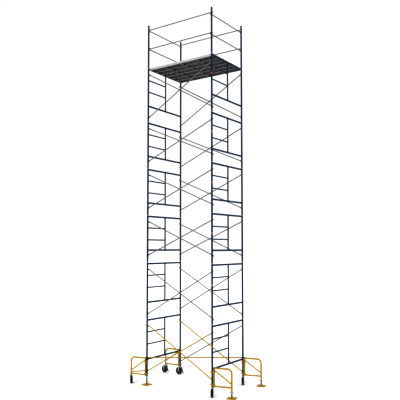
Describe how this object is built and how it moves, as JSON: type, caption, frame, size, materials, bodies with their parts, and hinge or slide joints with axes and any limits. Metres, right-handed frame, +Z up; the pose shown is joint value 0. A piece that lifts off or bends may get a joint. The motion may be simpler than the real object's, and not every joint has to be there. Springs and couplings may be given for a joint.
{
  "type": "mobile tower scaffold",
  "caption": "Tall rectangular scaffold tower of stacked welded ladder frames with crossed braces, a railed plank platform, corner outriggers, screw jacks and braked casters.",
  "frame": {"origin": "on the ground, midway between the four corner legs", "axes": "+Z up; +X along the long side, from the ladder frames at the left end to those at the right end; -Y towards the front face"},
  "size_m": [3.4097, 1.9936, 10.01],
  "materials": {
    "navy_paint": "semi-gloss powder coat",
    "yellow_paint": "semi-gloss powder coat",
    "galvanised_tube": "satin galvanised",
    "zinc_hardware": "dull zinc plate",
    "dark_clamp": "dull black",
    "plank_steel": "galvanised sheet",
    "tyre": "matt solid rubber"
  },
  "bodies": {
    "tower": {"frame_left_1": "navy_paint", "frame_right_1": "navy_paint", "frame_left_2": "navy_paint", "frame_right_2": "navy_paint", "frame_left_3": "navy_paint", "frame_right_3": "navy_paint", "frame_left_4": "navy_paint", "frame_right_4": "navy_paint", "frame_left_5": "navy_paint", "frame_right_5": "navy_paint", "frame_left_6": "navy_paint", "frame_right_6": "navy_paint", "cross_braces_yellow": "yellow_paint", "cross_braces_tall": "galvanised_tube", "cross_braces_short": "galvanised_tube", "brace_keepers": "zinc_hardware", "coupling_pins": "zinc_hardware", "guard_posts": "navy_paint", "side_rails_front": "galvanised_tube", "side_rails_back": "galvanised_tube", "end_rails_left": "galvanised_tube", "end_rails_right": "galvanised_tube", "rail_keepers": "zinc_hardware", "plan_brace": "yellow_paint", "plan_brace_clamps": "dark_clamp"},
    "plank_1": {"plank_1": "plank_steel"},
    "plank_2": {"plank_2": "plank_steel"},
    "plank_3": {"plank_3": "plank_steel"},
    "plank_4": {"plank_4": "plank_steel"},
    "plank_5": {"plank_5": "plank_steel"},
    "plank_6": {"plank_6": "plank_steel"},
    "outrigger_front_left": {"outrigger_front_left": "yellow_paint", "outrigger_front_left_clamps": "yellow_paint"},
    "outrigger_front_right": {"outrigger_front_right": "yellow_paint", "outrigger_front_right_clamps": "yellow_paint"},
    "outrigger_back_left": {"outrigger_back_left": "yellow_paint", "outrigger_back_left_clamps": "yellow_paint"},
    "outrigger_back_right": {"outrigger_back_right": "yellow_paint", "outrigger_back_right_clamps": "yellow_paint"},
    "jack_screw_leg_front_left": {"jack_screw_leg_front_left": "yellow_paint"},
    "jack_nut_leg_front_left": {"jack_nut_leg_front_left": "zinc_hardware"},
    "jack_screw_outrigger_front_right": {"jack_screw_outrigger_front_right": "yellow_paint"},
    "jack_nut_outrigger_front_right": {"jack_nut_outrigger_front_right": "zinc_hardware"},
    "jack_screw_outrigger_back_right": {"jack_screw_outrigger_back_right": "yellow_paint"},
    "jack_nut_outrigger_back_right": {"jack_nut_outrigger_back_right": "zinc_hardware"},
    "caster_fork_leg_back_left": {"caster_fork_leg_back_left": "zinc_hardware"},
    "caster_wheel_leg_back_left": {"caster_wheel_leg_back_left": "tyre"},
    "caster_brake_leg_back_left": {"caster_brake_leg_back_left": "zinc_hardware"},
    "caster_fork_leg_front_right": {"caster_fork_leg_front_right": "zinc_hardware"},
    "caster_wheel_leg_front_right": {"caster_wheel_leg_front_right": "tyre"},
    "caster_brake_leg_front_right": {"caster_brake_leg_front_right": "zinc_hardware"},
    "caster_fork_leg_back_right": {"caster_fork_leg_back_right": "zinc_hardware"},
    "caster_wheel_leg_back_right": {"caster_wheel_leg_back_right": "tyre"},
    "caster_brake_leg_back_right": {"caster_brake_leg_back_right": "zinc_hardware"},
    "caster_fork_outrigger_front_left": {"caster_fork_outrigger_front_left": "zinc_hardware"},
    "caster_wheel_outrigger_front_left": {"caster_wheel_outrigger_front_left": "tyre"},
    "caster_brake_outrigger_front_left": {"caster_brake_outrigger_front_left": "zinc_hardware"},
    "caster_fork_outrigger_back_left": {"caster_fork_outrigger_back_left": "zinc_hardware"},
    "caster_wheel_outrigger_back_left": {"caster_wheel_outrigger_back_left": "tyre"},
    "caster_brake_outrigger_back_left": {"caster_brake_outrigger_back_left": "zinc_hardware"}
  },
  "joints": [
    {"name": "plank_1_lift", "type": "slide", "parent": "tower", "child": "plank_1", "axis": [0, 0, 1], "range_m": [0, 0.25]},
    {"name": "plank_2_lift", "type": "slide", "parent": "tower", "child": "plank_2", "axis": [0, 0, 1], "range_m": [0, 0.25]},
    {"name": "plank_3_lift", "type": "slide", "parent": "tower", "child": "plank_3", "axis": [0, 0, 1], "range_m": [0, 0.25]},
    {"name": "plank_4_lift", "type": "slide", "parent": "tower", "child": "plank_4", "axis": [0, 0, 1], "range_m": [0, 0.25]},
    {"name": "plank_5_lift", "type": "slide", "parent": "tower", "child": "plank_5", "axis": [0, 0, 1], "range_m": [0, 0.25]},
    {"name": "plank_6_lift", "type": "slide", "parent": "tower", "child": "plank_6", "axis": [0, 0, 1], "range_m": [0, 0.25]},
    {"name": "outrigger_front_left_swing", "type": "hinge", "parent": "tower", "child": "outrigger_front_left", "pos_m": [-1.0668, -0.762, 0.45], "axis": [0, 0, 1], "range_deg": [-36, 90]},
    {"name": "outrigger_front_right_swing", "type": "hinge", "parent": "tower", "child": "outrigger_front_right", "pos_m": [1.0668, -0.762, 0.45], "axis": [0, 0, 1], "range_deg": [-90, 14]},
    {"name": "outrigger_back_left_swing", "type": "hinge", "parent": "tower", "child": "outrigger_back_left", "pos_m": [-1.0668, 0.762, 0.45], "axis": [0, 0, 1], "range_deg": [-90, 22]},
    {"name": "outrigger_back_right_swing", "type": "hinge", "parent": "tower", "child": "outrigger_back_right", "pos_m": [1.0668, 0.762, 0.45], "axis": [0, 0, 1], "range_deg": [-46, 90]},
    {"name": "jack_nut_leg_front_left_turn", "type": "hinge", "parent": "tower", "child": "jack_nut_leg_front_left", "pos_m": [-1.0668, -0.762, 0.24], "axis": [0, 0, 1], "range_deg": [-2160, 10800]},
    {"name": "jack_screw_leg_front_left_travel", "type": "slide", "parent": "tower", "child": "jack_screw_leg_front_left", "axis": [0, 0, -1], "range_m": [-0.0385, 0.191]},
    {"name": "jack_nut_outrigger_front_right_turn", "type": "hinge", "parent": "outrigger_front_right", "child": "jack_nut_outrigger_front_right", "pos_m": [1.55224, -0.6228, 0.165], "axis": [0, 0, 1], "range_deg": [-2160, 10800]},
    {"name": "jack_screw_outrigger_front_right_travel", "type": "slide", "parent": "outrigger_front_right", "child": "jack_screw_outrigger_front_right", "axis": [0, 0, -1], "range_m": [-0.0385, 0.191]},
    {"name": "jack_nut_outrigger_back_right_turn", "type": "hinge", "parent": "outrigger_back_right", "child": "jack_nut_outrigger_back_right", "pos_m": [1.55224, 0.9012, 0.165], "axis": [0, 0, 1], "range_deg": [-2160, 10800]},
    {"name": "jack_screw_outrigger_back_right_travel", "type": "slide", "parent": "outrigger_back_right", "child": "jack_screw_outrigger_back_right", "axis": [0, 0, -1], "range_m": [-0.0385, 0.191]},
    {"name": "caster_leg_back_left_swivel", "type": "hinge", "parent": "tower", "child": "caster_fork_leg_back_left", "pos_m": [-1.0668, 0.762, 0.24], "axis": [0, 0, 1], "continuous": true},
    {"name": "caster_leg_back_left_roll", "type": "hinge", "parent": "caster_fork_leg_back_left", "child": "caster_wheel_leg_back_left", "pos_m": [-1.1118, 0.762, 0.1016], "axis": [0, -1, 0], "continuous": true},
    {"name": "caster_leg_back_left_brake", "type": "hinge", "parent": "caster_fork_leg_back_left", "child": "caster_brake_leg_back_left", "pos_m": [-1.0268, 0.762, 0.198], "axis": [0, -1, 0], "range_deg": [0, 35]},
    {"name": "caster_leg_front_right_swivel", "type": "hinge", "parent": "tower", "child": "caster_fork_leg_front_right", "pos_m": [1.0668, -0.762, 0.24], "axis": [0, 0, 1], "continuous": true},
    {"name": "caster_leg_front_right_roll", "type": "hinge", "parent": "caster_fork_leg_front_right", "child": "caster_wheel_leg_front_right", "pos_m": [1.08582, -0.80278, 0.1016], "axis": [0.9063, 0.4226, 0], "continuous": true},
    {"name": "caster_leg_front_right_brake", "type": "hinge", "parent": "caster_fork_leg_front_right", "child": "caster_brake_leg_front_right", "pos_m": [1.0499, -0.72575, 0.198], "axis": [0.9063, 0.4226, 0], "range_deg": [0, 35]},
    {"name": "caster_leg_back_right_swivel", "type": "hinge", "parent": "tower", "child": "caster_fork_leg_back_right", "pos_m": [1.0668, 0.762, 0.24], "axis": [0, 0, 1], "continuous": true},
    {"name": "caster_leg_back_right_roll", "type": "hinge", "parent": "caster_fork_leg_back_right", "child": "caster_wheel_leg_back_right", "pos_m": [1.08582, 0.72122, 0.1016], "axis": [0.9063, 0.4226, 0], "continuous": true},
    {"name": "caster_leg_back_right_brake", "type": "hinge", "parent": "caster_fork_leg_back_right", "child": "caster_brake_leg_back_right", "pos_m": [1.0499, 0.79825, 0.198], "axis": [0.9063, 0.4226, 0], "range_deg": [0, 35]},
    {"name": "caster_outrigger_front_left_swivel", "type": "hinge", "parent": "outrigger_front_left", "child": "caster_fork_outrigger_front_left", "pos_m": [-1.56558, -0.841, 0.24], "axis": [0, 0, 1], "continuous": true},
    {"name": "caster_outrigger_front_left_roll", "type": "hinge", "parent": "caster_fork_outrigger_front_left", "child": "caster_wheel_outrigger_front_left", "pos_m": [-1.53162, -0.87052, 0.1016], "axis": [0.6561, 0.7547, 0], "continuous": true},
    {"name": "caster_outrigger_front_left_brake", "type": "hinge", "parent": "caster_fork_outrigger_front_left", "child": "caster_brake_outrigger_front_left", "pos_m": [-1.59577, -0.81476, 0.198], "axis": [0.6561, 0.7547, 0], "range_deg": [0, 35]},
    {"name": "caster_outrigger_back_left_swivel", "type": "hinge", "parent": "outrigger_back_left", "child": "caster_fork_outrigger_back_left", "pos_m": [-1.56855, 0.70483, 0.24], "axis": [0, 0, 1], "continuous": true},
    {"name": "caster_outrigger_back_left_roll", "type": "hinge", "parent": "caster_fork_outrigger_back_left", "child": "caster_wheel_outrigger_back_left", "pos_m": [-1.61312, 0.7111, 0.1016], "axis": [-0.1392, -0.9903, 0], "continuous": true},
    {"name": "caster_outrigger_back_left_brake", "type": "hinge", "parent": "caster_fork_outrigger_back_left", "child": "caster_brake_outrigger_back_left", "pos_m": [-1.52894, 0.69927, 0.198], "axis": [-0.1392, -0.9903, 0], "range_deg": [0, 35]}
  ],
  "couplings": [
    {"joint": "jack_screw_leg_front_left_travel", "follows": "jack_nut_leg_front_left_turn", "m_per_rad": 0.0010106},
    {"joint": "jack_screw_outrigger_front_right_travel", "follows": "jack_nut_outrigger_front_right_turn", "m_per_rad": 0.0010106},
    {"joint": "jack_screw_outrigger_back_right_travel", "follows": "jack_nut_outrigger_back_right_turn", "m_per_rad": 0.0010106}
  ]
}
